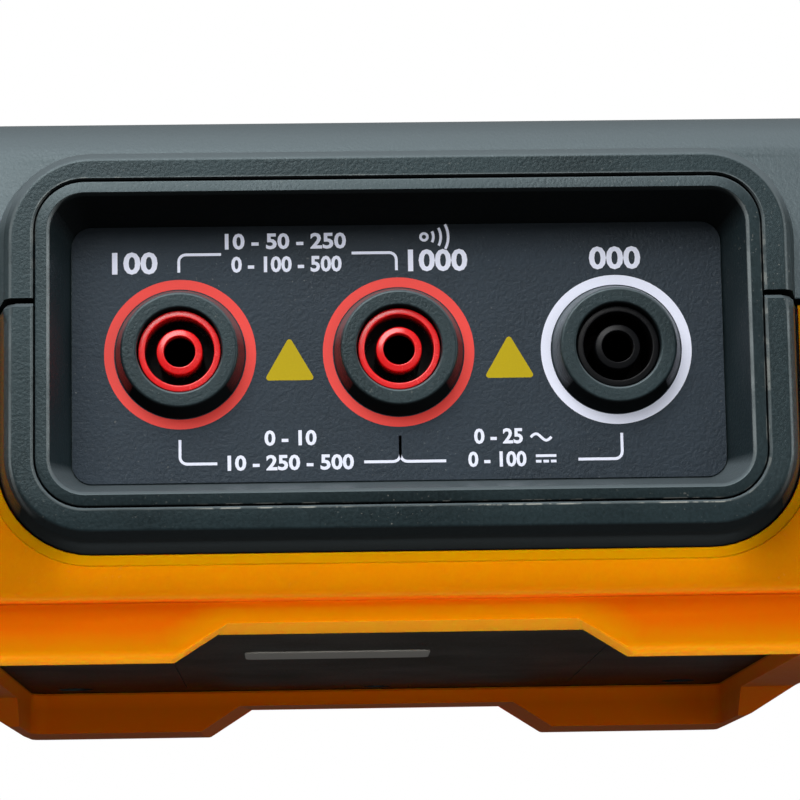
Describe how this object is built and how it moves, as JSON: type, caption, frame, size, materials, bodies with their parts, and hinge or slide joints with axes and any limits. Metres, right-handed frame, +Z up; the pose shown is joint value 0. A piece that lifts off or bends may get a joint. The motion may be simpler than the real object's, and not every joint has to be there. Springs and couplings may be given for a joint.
{
  "type": "insulation resistance tester",
  "caption": "Bench insulation resistance tester in an orange rubber boot, with recessed safety sockets at one end and a deck with display, keys, selector knob and test button.",
  "frame": {"origin": "on the table under the middle of the body", "axes": "+Z up out of the deck, -Y out of the socket end, +X to the right when facing the sockets"},
  "size_m": [0.15, 0.19, 0.0825],
  "materials": {
    "case_plastic": "fine-grained dark grey, satin",
    "boot_rubber": "orange elastomer, matte",
    "gasket_rubber": "black, matte",
    "label_print": "slate film with printed marks",
    "deck_print": "dark film with printed marks",
    "jack_red": "red insulator, glossy",
    "jack_black": "black insulator, glossy",
    "contact_metal": "nickel-plated, turned",
    "screw_steel": "zinc-plated",
    "spring_steel": "drawn wire",
    "board_laminate": "green solder mask",
    "black_plastic": "moulded black",
    "window_clear": "clear, hard-coated",
    "lcd_surface": "grey-green liquid crystal",
    "white_plastic": "moulded white",
    "knob_plastic": "dark grey with a pale pointer",
    "button_plastic": "orange",
    "guard_plastic": "yellow",
    "key_rubber": "grey, matte",
    "lamp_lens": "translucent red",
    "ferrite": "sintered, matte",
    "copper_winding": "tape over copper wire",
    "component_blue": "blue sleeve",
    "fuse_body": "white tube",
    "cell_wrap": "plain printed wrap",
    "plate_label": "plain pale sticker"
  },
  "bodies": {
    "instrument": {"upper_case": "case_plastic", "lower_case": "case_plastic", "protective_boot": "boot_rubber", "case_gasket": "gasket_rubber", "socket_bezel": "case_plastic", "socket_block": "case_plastic", "jack_collars": "case_plastic", "socket_label": "label_print", "jack_body_low": "jack_red", "jack_body_high": "jack_red", "jack_body_common": "jack_black", "jack_contacts": "contact_metal", "jack_clamp": "black_plastic", "jack_clamp_screws": "screw_steel", "jack_board": "board_laminate", "jack_board_screws": "screw_steel", "face_overlay": "deck_print", "display_window": "window_clear", "lcd_glass": "lcd_surface", "lcd_frame": "white_plastic", "backlight_panel": "white_plastic", "display_board": "board_laminate", "display_board_screws": "screw_steel", "selector_bush": "contact_metal", "test_spring": "spring_steel", "test_guard": "guard_plastic", "test_switch": "black_plastic", "key_switches": "black_plastic", "warning_lamp": "lamp_lens", "main_board": "board_laminate", "main_board_screws": "screw_steel", "board_header": "black_plastic", "stacking_header": "black_plastic", "transformer_core": "ferrite", "transformer_winding": "copper_winding", "hv_capacitors": "component_blue", "relays": "component_blue", "fuse": "fuse_body", "fuse_clips": "contact_metal", "buzzer": "black_plastic", "chips": "black_plastic", "battery_cells": "cell_wrap", "battery_springs": "spring_steel", "battery_plates": "spring_steel", "battery_cover": "case_plastic", "cover_screws": "screw_steel", "case_screws": "screw_steel", "rating_plate": "plate_label"},
    "selector": {"selector_knob": "knob_plastic", "selector_shaft": "spring_steel", "selector_rotor": "black_plastic"},
    "test_key": {"test_button": "button_plastic", "test_stem": "black_plastic", "test_clip": "spring_steel"},
    "key_backlight_body": {"key_backlight": "key_rubber"},
    "key_hold_body": {"key_hold": "key_rubber"},
    "key_range_body": {"key_range": "key_rubber"},
    "key_timer_body": {"key_timer": "key_rubber"},
    "key_compare_body": {"key_compare": "key_rubber"}
  },
  "joints": [
    {"name": "selector_turn", "type": "hinge", "parent": "instrument", "child": "selector", "pos_m": [0.028, 0.04325, 0.0715], "axis": [0, 0, 1], "range_deg": [-120, 120]},
    {"name": "test_press", "type": "slide", "parent": "instrument", "child": "test_key", "axis": [0, 0, -1], "range_m": [0, 0.0022], "stiffness_N_per_m": 900, "springref_m": -0.002, "deforming": ["test_spring"]},
    {"name": "key_backlight_press", "type": "slide", "parent": "instrument", "child": "key_backlight_body", "axis": [0, 0, -1], "range_m": [0, 0.0012], "stiffness_N_per_m": 900, "springref_m": -0.0005},
    {"name": "key_hold_press", "type": "slide", "parent": "instrument", "child": "key_hold_body", "axis": [0, 0, -1], "range_m": [0, 0.0012], "stiffness_N_per_m": 900, "springref_m": -0.0005},
    {"name": "key_range_press", "type": "slide", "parent": "instrument", "child": "key_range_body", "axis": [0, 0, -1], "range_m": [0, 0.0012], "stiffness_N_per_m": 900, "springref_m": -0.0005},
    {"name": "key_timer_press", "type": "slide", "parent": "instrument", "child": "key_timer_body", "axis": [0, 0, -1], "range_m": [0, 0.0012], "stiffness_N_per_m": 900, "springref_m": -0.0005},
    {"name": "key_compare_press", "type": "slide", "parent": "instrument", "child": "key_compare_body", "axis": [0, 0, -1], "range_m": [0, 0.0012], "stiffness_N_per_m": 900, "springref_m": -0.0005}
  ]
}
